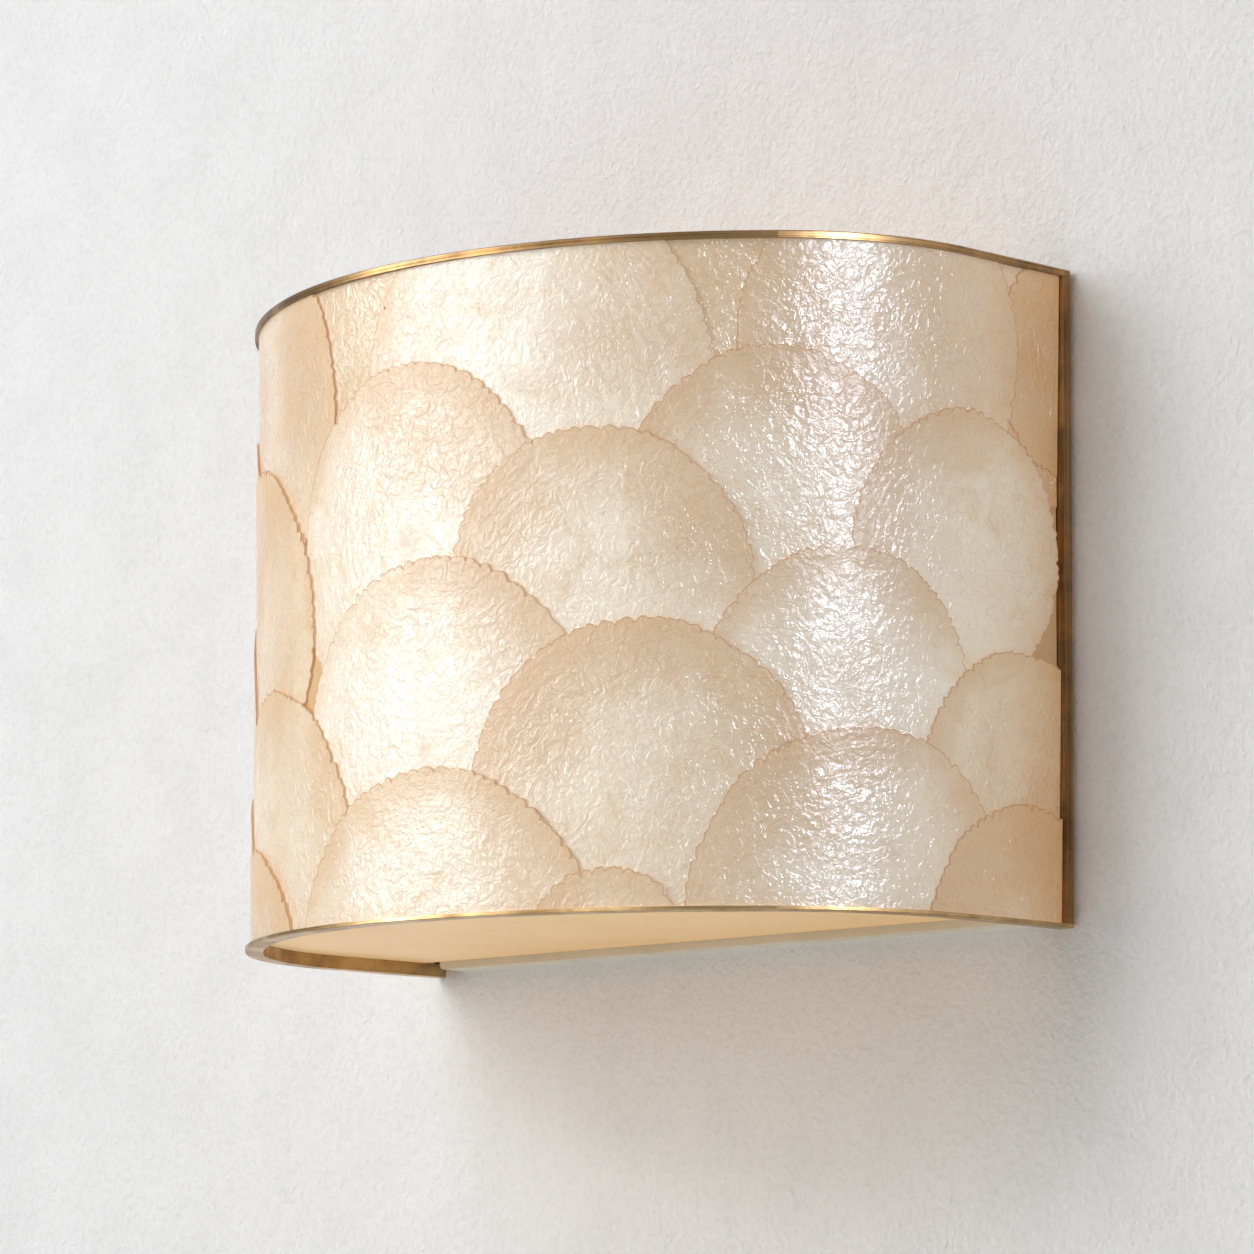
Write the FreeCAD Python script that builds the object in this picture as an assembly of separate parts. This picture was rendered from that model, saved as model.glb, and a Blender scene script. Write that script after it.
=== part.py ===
import FreeCAD, Part
import math
import os
from FreeCAD import Vector

# Shell wall sconce: a half-drum shade of overlapping capiz shells in a brass frame, lifted off an
# enamelled back plate that carries two lamps. Millimetres. The wall is the plane Y = 0, the front
# faces -Y, +Z is up, and the origin is on the wall at the middle of the wall bracket.

# Shade, overall
WIDTH = 300.0
DEPTH = 160.0
HEIGHT = 211.0
SIDE_RETURN = 49.0  # straight run of each side before it starts to curve
SIDE_RADIUS = 84.0  # outline radius at the two front corners
WALL_GAP = 1.0  # the shade's back edge stands clear of the wall

# Brass frame
RING_WIDTH = 12.0  # of the top ring, and how far the stiles' flanges reach in
TOP_LIP = 2.3
TOP_STEP = 4.0
BOTTOM_LIP = 1.3
BOTTOM_STEP = 3.2
BOTTOM_WIDTH = 6.0  # of the bottom ring, whose inner edge carries the diffuser
LIP_PROUD = 0.7  # the lips stand this far outside the outermost shell
EDGE_CHAMFER = 0.3
STILE_FACE = 3.5
STILE_FLANGE = 2.0
PANEL_GROOVE = 0.4  # shadow line between the stile and the shell panel

# Shell panel
LINER_THICKNESS = 1.0
SHELL_THICKNESS = 0.5
SHELL_LAP_GAP = 0.1
SHELL_JOINT = 0.3  # between neighbours of one row
SHELL_RADIUS = 56.0  # of a typical shell
ROW_PITCH = 30.0
FIRST_ROW_ABOVE = 27.0  # nominal top of the first row, above the top of the shade
TUCKED_TAIL = 20.0  # how far a shell runs on beneath the second row below it
SHELL_RELIEF = 2.5  # room for the lapped rows between the liner and the outermost shell
SHELL_LIFT_MOST = 24.0  # the most that a shell is set above its row's nominal top
SHELL_REACH = 40.0  # depth that takes in a shell's bend round a corner
CUT_HAIR = 0.05  # change of a shell's radius where a cut has to be tried again

# The shells are laid by hand, so none sits quite regularly. For each shell of each row from the
# top: place, in hundredths of the way from the middle of the front (0) to the right-hand stile
# (100) or the left one (-100); height above the row's nominal top; and size, in hundredths of
# the typical radius.
SHELL_ROWS = [
    [(-59, 0, 107), (-8, 0, 107), (46, 0, 107), (89, 0, 107)],
    [(-81, 24, 111), (-35, 24, 107), (21, 24, 118), (70, 24, 95), (102, 12, 71)],
    [(-59, 0, 104), (3, 1, 104), (54, -2, 89)],
    [(-92, 2, 93), (-40, 11, 107), (31, 5, 95), (81, 12, 79)],
    [(-65, 0, 104), (7, -2, 112), (63, -4, 82)],
    [(-87, 2, 93), (-30, -6, 107), (37, 4, 107), (91, -2, 82)],
    [(-63, 0, 107), (7, -9, 121), (66, 0, 104)],
    [(-94, 6, 86), (-42, 5, 107), (33, -13, 50), (92, 10, 82)],
]

# Diffuser
DIFFUSER_THICKNESS = 3.0
DIFFUSER_CLEARANCE = 0.5
FLAT_SEAT = 0.05  # between the plate and the ring that it lies on

# Back plate: a shallow pan of sheet steel
PAN_DEPTH = 10.0
PAN_THICKNESS = 1.2
PAN_SIDE_CLEARANCE = 0.6
PAN_BELOW = 1.9  # its lower edge, above the underside of the shade
PAN_TOP_CLEARANCE = 2.0
PAN_CORNER = 2.0
LEAD_HOLE = 12.0

# Wall bracket and its fixings
BRACKET_LENGTH = 120.0
BRACKET_WIDTH = 20.0
BRACKET_THICKNESS = 2.5
BOX_SPACING = 88.9  # the two screws of a round ceiling or wall box
BOX_SLOT_LENGTH = 14.0
BOX_SLOT_WIDTH = 4.8
PLATE_STUD_SPACING = 60.0
STUD = 4.0
STUD_BEYOND_NUT = 0.6
PLATE_NUT_ACROSS = 8.0
PLATE_NUT_HEIGHT = 3.2
EARTH_SCREW_PLACE = 17.0
EARTH_SCREW_HEAD = 7.0
EARTH_SCREW_HEAD_HEIGHT = 2.2

# Hanging lugs of the shade, on studs of the back plate
LUG_SPACING = 170.0
LUG_WIDTH = 18.0
LUG_HEIGHT = 30.0
LUG_THICKNESS = 1.5
LUG_GAP = 0.3  # between the lug and the pan, and the lug and its nut
LUG_SLOT_CLEARANCE = 0.3
LUG_SEAT = 12.0  # middle of the slot's round end, below the top of the lug
NUT_DIAMETER = 12.0
NUT_HEIGHT = 6.0
NUT_RIDGES = 18
NUT_RIDGE_DEPTH = 0.5
NUT_CLEARANCE = 0.05

# Lamps and their holders
LAMP_SPACING = 130.0
LAMP_STANDOFF = 72.0  # lamp axis from the wall
ARM_HEIGHT = 54.0  # top of the arm above the underside of the shade
ARM_WIDTH = 22.0
ARM_THICKNESS = 1.6
ARM_FOOT = 26.0
ARM_BEND = 3.0
ARM_TIP = 14.0  # arm beyond the lamp axis
FOOT_SCREW = 4.0
FOOT_SCREW_PLACE = 15.5  # above the top of the arm
FOOT_SCREW_HEAD = 7.5
FOOT_SCREW_HEAD_HEIGHT = 2.4
NIPPLE = 9.6
NIPPLE_BORE = 7.0
NIPPLE_ENGAGED = 7.0
NIPPLE_BEYOND_NUT = 1.0
NIPPLE_NUT_ACROSS = 13.0
NIPPLE_NUT_HEIGHT = 3.0
HOLDER_DIAMETER = 36.0
HOLDER_BASE_DIAMETER = 28.0
HOLDER_HEIGHT = 38.0
HOLDER_TAPER = 8.0
HOLDER_RIM = 1.0  # chamfer round the mouth
CAP_DIAMETER = 26.0
CAP_LENGTH = 26.0
CAP_CLEARANCE = 0.1
CAP_TAPER = 2.0
CAP_SHOULDER = 1.0  # how far the cap stands above the holder's rim
CONTACT_DIAMETER = 9.0
CONTACT_HEIGHT = 2.0
GLASS_DIAMETER = 32.0
GLASS_HEIGHT = 84.0
GLASS_NECK_INSET = 0.5
GLASS_SHOULDER = 7.0
GLASS_END_RADIUS = 10.0

# Grommet in the back plate
GROMMET_LIP = 2.0
GROMMET_LIP_THICKNESS = 1.5
GROMMET_BORE = 8.0

X, Y, Z = Vector(1, 0, 0), Vector(0, 1, 0), Vector(0, 0, 1)

# Worked out from the sizes above
half_width = WIDTH / 2
bottom = -HEIGHT / 2
top = HEIGHT / 2
rise = DEPTH - SIDE_RETURN
front_radius = (half_width**2 + rise**2 - 2 * half_width * SIDE_RADIUS) / (2 * (rise - SIDE_RADIUS))
side_centre = half_width - SIDE_RADIUS
front_centre = front_radius - DEPTH
front_half_angle = math.degrees(math.atan2(side_centre, front_centre + SIDE_RETURN))
side_angle = 90 - front_half_angle
front_half_length = front_radius * math.radians(front_half_angle)
side_length = SIDE_RADIUS * math.radians(side_angle)
half_outline = front_half_length + side_length + SIDE_RETURN
liner_outside = LIP_PROUD + SHELL_RELIEF
liner_inside = liner_outside + LINER_THICKNESS
panel_bottom = bottom + BOTTOM_LIP
panel_top = top - TOP_LIP
panel_end = WALL_GAP + STILE_FACE + PANEL_GROOVE
diffuser_seat = panel_bottom + BOTTOM_STEP
shell_slope = (SHELL_THICKNESS + SHELL_LAP_GAP) / ROW_PITCH
row_count = math.ceil((HEIGHT + FIRST_ROW_ABOVE) / ROW_PITCH)
pan_half_width = half_width - RING_WIDTH - PAN_SIDE_CLEARANCE
pan_bottom = bottom + PAN_BELOW
pan_top = panel_top - PAN_TOP_CLEARANCE
lug_back = -PAN_DEPTH - LUG_GAP
nut_back = lug_back - LUG_THICKNESS - LUG_GAP
lug_slot = STUD + 2 * LUG_SLOT_CLEARANCE
lug_stud_height = panel_top - LUG_SEAT - LUG_SLOT_CLEARANCE
arm_top = bottom + ARM_HEIGHT
foot_screw_height = arm_top + FOOT_SCREW_PLACE
holder_top = arm_top + HOLDER_HEIGHT
cap_bottom = holder_top + CAP_SHOULDER - CAP_LENGTH
plate_stud_length = PAN_DEPTH + PLATE_NUT_HEIGHT + STUD_BEYOND_NUT
lug_stud_length = PAN_THICKNESS - PAN_DEPTH - nut_back + NUT_HEIGHT + STUD_BEYOND_NUT


def save(node, pieces):
    pieces = pieces if isinstance(pieces, list) else [pieces]
    solids = [solid for piece in pieces for solid in piece.Solids]
    shape = solids[0] if len(solids) == 1 else Part.makeCompound(solids)
    shape.exportStep("parts/" + node + ".step")
    volume = sum(solid.Volume for solid in solids)
    print(node, len(solids), "solids", round(volume), "mm3", "valid" if shape.isValid() else "INVALID")


def box(x0, x1, y0, y1, z0, z1):
    return Part.makeBox(x1 - x0, y1 - y0, z1 - z0, Vector(x0, y0, z0))


def rod(diameter, length, start, along):
    return Part.makeCylinder(diameter / 2, length, start, along)


def polygon(points):
    return Part.Face(Part.makePolygon(points + [points[0]]))


def prism(points, sweep):
    return polygon(points).extrude(sweep)


def turned(profile, x, y):
    """A solid of revolution about the upright line through x, y: profile holds radius, height."""
    points = [Vector(x + radius, y, height) for radius, height in profile]
    return polygon(points).revolve(Vector(x, y, 0), Z, 360)


def hexagon(across, length, start, along):
    """A hexagonal prism along Y or Z."""
    corner = across / math.sqrt(3)
    side = X
    other = Z if along.z == 0 else Y
    points = []
    for step in range(6):
        angle = math.radians(60 * step)
        points.append(start + side * (corner * math.cos(angle)) + other * (corner * math.sin(angle)))
    return prism(points, along * length)


def mirrored(shape):
    return shape.mirror(Vector(0, 0, 0), X)


def both_sides(shape):
    return [shape, mirrored(shape)]


def along_outline(profile, start):
    """Carry a section round the half-drum outline: profile holds inset from the outside and
    height, and both ends stop at the distance start from the wall."""

    def on_arc(radius, centre, first, angle):
        direction = Vector(math.cos(math.radians(first)), math.sin(math.radians(first)), 0)
        points = [centre + direction * (radius - inset) + Z * height for inset, height in profile]
        return polygon(points).revolve(centre, Z, angle)

    points = [Vector(half_width - inset, -SIDE_RETURN, height) for inset, height in profile]
    side_run = prism(points, Y * (SIDE_RETURN - start))
    corner = on_arc(SIDE_RADIUS, Vector(side_centre, -SIDE_RETURN, 0), -side_angle, side_angle)
    first = -90 - front_half_angle
    front = on_arc(front_radius, Vector(0, front_centre, 0), first, 2 * front_half_angle)
    pieces = [front, corner, mirrored(corner), mirrored(side_run)]
    return side_run.multiFuse(pieces).removeSplitter()


def outline_place(run):
    """The point and outward direction on the outside outline, run mm from the front's middle."""
    side = 1 if run >= 0 else -1
    run = abs(run)
    if run <= front_half_length:
        angle = run / front_radius
        place = Vector(0, front_centre, 0)
        radius = front_radius
    elif run <= front_half_length + side_length:
        angle = math.radians(front_half_angle) + (run - front_half_length) / SIDE_RADIUS
        place = Vector(side_centre, -SIDE_RETURN, 0)
        radius = SIDE_RADIUS
    else:
        angle = math.pi / 2
        place = Vector(side_centre, run - front_half_length - side_length - SIDE_RETURN, 0)
        radius = SIDE_RADIUS
    outward = Vector(math.sin(angle), -math.cos(angle), 0)
    place = place + outward * radius
    return Vector(side * place.x, place.y, 0), Vector(side * outward.x, outward.y, 0)


def top_ring():
    """The D of flat bar with the step that the liner is glued to, and its back bar by the wall."""
    underside = panel_top - TOP_STEP
    section = [
        (EDGE_CHAMFER, top),
        (0, top - EDGE_CHAMFER),
        (0, panel_top),
        (liner_inside, panel_top),
        (liner_inside, underside),
        (RING_WIDTH, underside),
        (RING_WIDTH, top),
    ]
    inner = half_width - RING_WIDTH
    back_bar = box(-inner, inner, -WALL_GAP - RING_WIDTH, -WALL_GAP, panel_top, top)
    return along_outline(section, WALL_GAP).fuse(back_bar).removeSplitter()


def bottom_ring():
    """The D of narrow bar that the liner stands on, with the seat that the diffuser lies on."""
    section = [
        (0, bottom + EDGE_CHAMFER),
        (0, panel_bottom),
        (liner_inside, panel_bottom),
        (liner_inside, diffuser_seat),
        (BOTTOM_WIDTH, diffuser_seat),
        (BOTTOM_WIDTH, bottom),
        (EDGE_CHAMFER, bottom),
    ]
    return along_outline(section, WALL_GAP)


def stile(rings):
    """The upright at the wall: a face beside the shells and a flange behind them."""
    face_inside = half_width - liner_inside
    face = box(face_inside, half_width, -WALL_GAP - STILE_FACE, -WALL_GAP, panel_bottom, panel_top)
    flange_inside = half_width - RING_WIDTH
    flange = box(
        flange_inside, face_inside, -WALL_GAP - STILE_FLANGE, -WALL_GAP, diffuser_seat, panel_top
    )
    return face.fuse(flange).removeSplitter().cut(rings)


def liner():
    section = [
        (liner_outside, panel_bottom),
        (liner_outside, panel_top),
        (liner_inside, panel_top),
        (liner_inside, panel_bottom),
    ]
    return along_outline(section, panel_end)


def round_cutter(radius, centre, outward):
    """Round bar through the panel, in two halves that meet at its top and bottom."""
    side = outward.cross(Z)
    high, low = centre + Z * radius, centre - Z * radius
    edges = [
        Part.Arc(high, centre + side * radius, low).toShape(),
        Part.Arc(low, centre - side * radius, high).toShape(),
    ]
    return Part.Face(Part.Wire(edges)).extrude(outward * (SHELL_REACH + SHELL_RELIEF))


def bent_disc(course, radius, centre, outward):
    """What the round bar takes out of the course. Where the bar only just touches a seam of the
    course the cut comes back empty, and with a bar larger or smaller by a hair it doesn't."""
    for change in (0, CUT_HAIR, -CUT_HAIR):
        disc = course.common(round_cutter(radius + change, centre, outward))
        if disc.Solids:
            return disc
    return disc


def shell_row(number):
    """One row of round shells bent to the panel. The row leans out towards its top like a course
    of shingles, so it laps over the row above and tucks under the row below."""
    nominal_top = top + FIRST_ROW_ABOVE - ROW_PITCH * number
    tail = nominal_top - 2 * ROW_PITCH - TUCKED_TAIL
    low = max(tail, panel_bottom)
    high = min(nominal_top + SHELL_LIFT_MOST, panel_top)

    def inset(height):
        return liner_outside - shell_slope * (height - tail)

    section = [
        (inset(low), low),
        (inset(high), high),
        (inset(high) - SHELL_THICKNESS, high),
        (inset(low) - SHELL_THICKNESS, low),
    ]
    course = along_outline(section, panel_end)
    row = []
    taken = None
    for share, lift, size in SHELL_ROWS[number % len(SHELL_ROWS)]:
        radius = SHELL_RADIUS * size / 100
        place, outward = outline_place(half_outline * share / 100)
        centre = place - outward * SHELL_REACH + Z * (nominal_top + lift - radius)
        shell = bent_disc(course, radius, centre, outward)
        if taken:
            shell = shell.cut(taken)
        wide = round_cutter(radius + SHELL_JOINT, centre, outward)
        taken = wide if taken is None else taken.fuse(wide)
        row += shell.Solids
    return row


def diffuser():
    """Frosted plate that drops in from above on to the bottom ring, cut off in front of the pan."""
    inset = liner_inside + DIFFUSER_CLEARANCE
    rear = -PAN_DEPTH - DIFFUSER_CLEARANCE
    seat = diffuser_seat + FLAT_SEAT
    radius = SIDE_RADIUS - inset
    side_x = half_width - inset
    front = front_radius - inset
    across = math.radians(front_half_angle)
    half = math.radians(90 - side_angle / 2)
    joint = Vector(front * math.sin(across), front_centre - front * math.cos(across), seat)
    middle = Vector(side_centre + radius * math.sin(half), -SIDE_RETURN - radius * math.cos(half), seat)
    start = Vector(side_x, -SIDE_RETURN, seat)
    tip = Vector(0, front_centre - front, seat)

    def flip(point):
        return Vector(-point.x, point.y, point.z)

    back = Vector(side_x, rear, seat)
    edges = [
        Part.LineSegment(flip(back), back).toShape(),
        Part.LineSegment(back, start).toShape(),
        Part.Arc(start, middle, joint).toShape(),
        Part.Arc(joint, tip, flip(joint)).toShape(),
        Part.Arc(flip(joint), flip(middle), flip(start)).toShape(),
        Part.LineSegment(flip(start), flip(back)).toShape(),
    ]
    return Part.Face(Part.Wire(edges)).extrude(Z * DIFFUSER_THICKNESS)


def back_plate():
    """Sheet-steel pan, open to the wall, with holes for the studs, the arms and the leads."""
    front = box(-pan_half_width, pan_half_width, -PAN_DEPTH, 0, pan_bottom, pan_top)
    upright = [edge for edge in front.Edges if abs(edge.tangentAt(edge.FirstParameter).y) > 0.9]
    front = front.makeFillet(PAN_CORNER, upright)
    hollow = box(
        -pan_half_width + PAN_THICKNESS,
        pan_half_width - PAN_THICKNESS,
        -PAN_DEPTH + PAN_THICKNESS,
        0,
        pan_bottom + PAN_THICKNESS,
        pan_top - PAN_THICKNESS,
    )
    pan = front.cut(hollow)
    holes = [(0, 0, LEAD_HOLE)]
    for side in (-1, 1):
        holes.append((side * PLATE_STUD_SPACING / 2, 0, STUD))
        holes.append((side * LUG_SPACING / 2, lug_stud_height, STUD))
        holes.append((side * LAMP_SPACING / 2, foot_screw_height, FOOT_SCREW))
    for across, height, diameter in holes:
        pan = pan.cut(rod(diameter, PAN_DEPTH, Vector(across, 0, height), Y * -1))
    return pan


def wall_bracket():
    """Crossbar with a slot for each box screw, and tapped holes for the studs and earth screw."""
    bar = box(
        -BRACKET_LENGTH / 2, BRACKET_LENGTH / 2, -BRACKET_THICKNESS, 0, -BRACKET_WIDTH / 2, BRACKET_WIDTH / 2
    )
    ends = [edge for edge in bar.Edges if abs(edge.tangentAt(edge.FirstParameter).y) > 0.9]
    bar = bar.makeFillet(BRACKET_WIDTH / 4, ends)
    for side in (-1, 1):
        middle = side * BOX_SPACING / 2
        straight = (BOX_SLOT_LENGTH - BOX_SLOT_WIDTH) / 2
        half_slot = BOX_SLOT_WIDTH / 2
        slot = box(middle - straight, middle + straight, -BRACKET_THICKNESS, 0, -half_slot, half_slot)
        for end in (-1, 1):
            centre = Vector(middle + end * straight, 0, 0)
            slot = slot.fuse(rod(BOX_SLOT_WIDTH, BRACKET_THICKNESS, centre, Y * -1))
        bar = bar.cut(slot)
        bar = bar.cut(rod(STUD, BRACKET_THICKNESS, Vector(side * PLATE_STUD_SPACING / 2, 0, 0), Y * -1))
    bar = bar.cut(rod(STUD, BRACKET_THICKNESS, Vector(EARTH_SCREW_PLACE, 0, 0), Y * -1))
    return bar.cut(rod(LEAD_HOLE, BRACKET_THICKNESS, Vector(0, 0, 0), Y * -1))


def pan_head(shank, length, head, head_height, seat):
    """A screw driven along +Y whose chamfered head stands on the plane through seat."""
    edge = head_height / 2
    section = [
        (0, length),
        (shank / 2, length),
        (shank / 2, 0),
        (head / 2, 0),
        (head / 2, -head_height + edge),
        (head / 2 - edge, -head_height),
        (0, -head_height),
    ]
    points = [seat + X * radius + Y * depth for radius, depth in section]
    return polygon(points).revolve(seat, Y, 360)


def plate_nut(across):
    start = Vector(across, -PAN_DEPTH, 0)
    nut = hexagon(PLATE_NUT_ACROSS, PLATE_NUT_HEIGHT, start, Y * -1)
    return nut.cut(rod(STUD, PLATE_NUT_HEIGHT, start, Y * -1))


def knurled_nut(across):
    """Finger nut with straight knurls: ridges and valleys alternate round its edge."""
    start = Vector(across, nut_back, lug_stud_height)
    points = []
    for step in range(2 * NUT_RIDGES):
        radius = NUT_DIAMETER / 2 - (NUT_RIDGE_DEPTH if step % 2 else 0)
        angle = math.pi * step / NUT_RIDGES
        points.append(start + X * (radius * math.cos(angle)) + Z * (radius * math.sin(angle)))
    nut = prism(points, Y * -NUT_HEIGHT)
    return nut.cut(rod(STUD + 2 * NUT_CLEARANCE, NUT_HEIGHT, start, Y * -1))


def lug():
    """A tab under the back bar, with a slot open below that drops over its stud."""
    middle = LUG_SPACING / 2
    low = panel_top - LUG_HEIGHT
    left, right = middle - LUG_WIDTH / 2, middle + LUG_WIDTH / 2
    tab = box(left, right, lug_back - LUG_THICKNESS, lug_back, low, panel_top)
    closed_end = Vector(middle, lug_back, lug_stud_height)
    slot = rod(lug_slot, LUG_THICKNESS, closed_end, Y * -1)
    open_end = box(
        middle - lug_slot / 2, middle + lug_slot / 2, lug_back - LUG_THICKNESS, lug_back, low, lug_stud_height
    )
    return tab.cut(slot.fuse(open_end))


def arm(middle):
    """Bent strip: a foot screwed to the back plate and a shelf that the lampholder stands on."""
    front = -PAN_DEPTH
    left, right = middle - ARM_WIDTH / 2, middle + ARM_WIDTH / 2
    under = arm_top - ARM_THICKNESS
    shelf = box(left, right, -LAMP_STANDOFF - ARM_TIP, front, under, arm_top)
    foot = box(left, right, front - ARM_THICKNESS, front, under, arm_top + ARM_FOOT)
    bent = foot.fuse(shelf).removeSplitter()
    inside = crosswise_edge(bent, front - ARM_THICKNESS, arm_top)
    bent = bent.makeFillet(ARM_BEND, [inside])
    outside = crosswise_edge(bent, front, under)
    bent = bent.makeFillet(ARM_BEND + ARM_THICKNESS, [outside])
    bent = bent.cut(rod(FOOT_SCREW, ARM_THICKNESS, Vector(middle, front, foot_screw_height), Y * -1))
    return bent.cut(rod(NIPPLE, ARM_THICKNESS, Vector(middle, -LAMP_STANDOFF, under), Z))


def crosswise_edge(shape, y, z):
    """The edge of shape that runs along X through y, z."""
    for edge in shape.Edges:
        bounds = edge.BoundBox
        flat = max(bounds.YLength, bounds.ZLength) < 1e-4
        if flat and abs(bounds.YMin - y) < 1e-4 and abs(bounds.ZMin - z) < 1e-4:
            return edge


def nipple(x):
    """Threaded tube that clamps the lampholder to its arm."""
    low = arm_top - ARM_THICKNESS - NIPPLE_NUT_HEIGHT - NIPPLE_BEYOND_NUT
    length = arm_top + NIPPLE_ENGAGED - low
    start = Vector(x, -LAMP_STANDOFF, low)
    return rod(NIPPLE, length, start, Z).cut(rod(NIPPLE_BORE, length, start, Z))


def nipple_nut(x):
    start = Vector(x, -LAMP_STANDOFF, arm_top - ARM_THICKNESS - NIPPLE_NUT_HEIGHT)
    nut = hexagon(NIPPLE_NUT_ACROSS, NIPPLE_NUT_HEIGHT, start, Z)
    return nut.cut(rod(NIPPLE, NIPPLE_NUT_HEIGHT, start, Z))


def lampholder(x):
    """Turned holder with a cup for the lamp cap and a hole for the nipple below it."""
    cup = CAP_DIAMETER / 2 + CAP_CLEARANCE
    cup_floor = cap_bottom - CONTACT_HEIGHT
    profile = [
        (NIPPLE / 2, arm_top),
        (HOLDER_BASE_DIAMETER / 2, arm_top),
        (HOLDER_BASE_DIAMETER / 2, arm_top + HOLDER_TAPER / 2),
        (HOLDER_DIAMETER / 2, arm_top + HOLDER_TAPER),
        (HOLDER_DIAMETER / 2, holder_top - HOLDER_RIM),
        (HOLDER_DIAMETER / 2 - HOLDER_RIM, holder_top),
        (cup, holder_top),
        (cup, cup_floor),
        (CONTACT_DIAMETER / 2, cup_floor),
        (CONTACT_DIAMETER / 2, arm_top + NIPPLE_ENGAGED),
        (NIPPLE / 2, arm_top + NIPPLE_ENGAGED),
    ]
    return turned(profile, x, -LAMP_STANDOFF)


def centre_contact(x):
    """Spring contact in the floor of the cup."""
    seat = arm_top + NIPPLE_ENGAGED
    height = cap_bottom - CAP_CLEARANCE - seat
    return rod(CONTACT_DIAMETER, height, Vector(x, -LAMP_STANDOFF, seat), Z)


def lamp_cap(x):
    """Screw shell with its insulated foot."""
    radius = CAP_DIAMETER / 2
    foot = cap_bottom + CONTACT_HEIGHT
    shell_top = cap_bottom + CAP_LENGTH
    profile = [
        (0, cap_bottom),
        (CONTACT_DIAMETER / 2, cap_bottom),
        (radius - CAP_TAPER, foot),
        (radius, foot + CAP_TAPER),
        (radius, shell_top),
        (0, shell_top),
    ]
    return turned(profile, x, -LAMP_STANDOFF)


def lamp_glass(x):
    """Tubular bulb: a shoulder above the cap, a straight wall and a rounded end."""
    radius = GLASS_DIAMETER / 2
    low = cap_bottom + CAP_LENGTH
    high = low + GLASS_HEIGHT
    neck = CAP_DIAMETER / 2 - GLASS_NECK_INSET
    axis = Vector(x, -LAMP_STANDOFF, 0)

    def at(across, height):
        return axis + X * across + Z * height

    slant = math.radians(45)
    round_x, round_z = radius - GLASS_END_RADIUS, high - GLASS_END_RADIUS
    along_round = GLASS_END_RADIUS * math.sin(slant)
    halfway = at(round_x + along_round, round_z + along_round)
    start, end = at(radius, round_z), at(round_x, high)
    corners = [end, at(0, high), at(0, low), at(neck, low), at(radius, low + GLASS_SHOULDER), start]
    edges = [Part.LineSegment(a, b).toShape() for a, b in zip(corners, corners[1:])]
    edges.append(Part.Arc(start, halfway, end).toShape())
    return Part.Face(Part.Wire(edges)).revolve(axis, Z, 360)


def grommet():
    """Bush in the pan that keeps the supply leads off the sheet edge."""
    waist = LEAD_HOLE / 2
    lip = waist + GROMMET_LIP
    front = PAN_DEPTH + GROMMET_LIP_THICKNESS
    back = PAN_DEPTH - PAN_THICKNESS - GROMMET_LIP_THICKNESS
    inner = PAN_DEPTH - PAN_THICKNESS
    section = [
        (GROMMET_BORE / 2, back),
        (lip, back),
        (lip, inner),
        (waist, inner),
        (waist, PAN_DEPTH),
        (lip, PAN_DEPTH),
        (lip, front),
        (GROMMET_BORE / 2, front),
    ]
    points = [Vector(radius, -depth, 0) for radius, depth in section]
    return polygon(points).revolve(Vector(0, 0, 0), Y, 360)


os.makedirs("parts", exist_ok=True)

rings = [top_ring(), bottom_ring()]
right_stile = stile(rings)
save("top_ring", rings[0])
save("bottom_ring", rings[1])
save("right_stile", right_stile)
save("left_stile", mirrored(right_stile))
save("shade_liner", liner())
for number in range(row_count):
    save("shell_row_" + str(number + 1), shell_row(number))
save("hanging_lugs", both_sides(lug()))
save("bottom_diffuser", diffuser())

save("wall_bracket", wall_bracket())
earth_screw_seat = Vector(EARTH_SCREW_PLACE, -BRACKET_THICKNESS, 0)
earth_screw = pan_head(STUD, BRACKET_THICKNESS, EARTH_SCREW_HEAD, EARTH_SCREW_HEAD_HEIGHT, earth_screw_seat)
save("earth_screw", earth_screw)
save("back_plate", back_plate())
save("lead_grommet", grommet())
plate_stud = rod(STUD, plate_stud_length, Vector(PLATE_STUD_SPACING / 2, 0, 0), Y * -1)
save("plate_studs", both_sides(plate_stud))
save("plate_nuts", both_sides(plate_nut(PLATE_STUD_SPACING / 2)))
lug_stud_start = Vector(LUG_SPACING / 2, PAN_THICKNESS - PAN_DEPTH, lug_stud_height)
save("lug_studs", both_sides(rod(STUD, lug_stud_length, lug_stud_start, Y * -1)))

lamp_x = LAMP_SPACING / 2
foot_screw_seat = Vector(lamp_x, -PAN_DEPTH - ARM_THICKNESS, foot_screw_height)
foot_screw_length = ARM_THICKNESS + PAN_THICKNESS + 2 * STUD_BEYOND_NUT
foot_screw = pan_head(FOOT_SCREW, foot_screw_length, FOOT_SCREW_HEAD, FOOT_SCREW_HEAD_HEIGHT, foot_screw_seat)
save("lamp_arms", both_sides(arm(lamp_x)))
save("arm_screws", both_sides(foot_screw))
save("nipples", both_sides(nipple(lamp_x)))
save("nipple_nuts", both_sides(nipple_nut(lamp_x)))
save("lampholders", both_sides(lampholder(lamp_x)))
save("holder_contacts", both_sides(centre_contact(lamp_x)))

for side, name in ((-1, "left"), (1, "right")):
    save("lug_nut_" + name, knurled_nut(side * LUG_SPACING / 2))
    save("lamp_cap_" + name, lamp_cap(side * lamp_x))
    save("lamp_glass_" + name, lamp_glass(side * lamp_x))
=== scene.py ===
import math
import random

import bmesh
import bpy
import numpy as np
from mathutils import Matrix, Vector, geometry, noise


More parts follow.
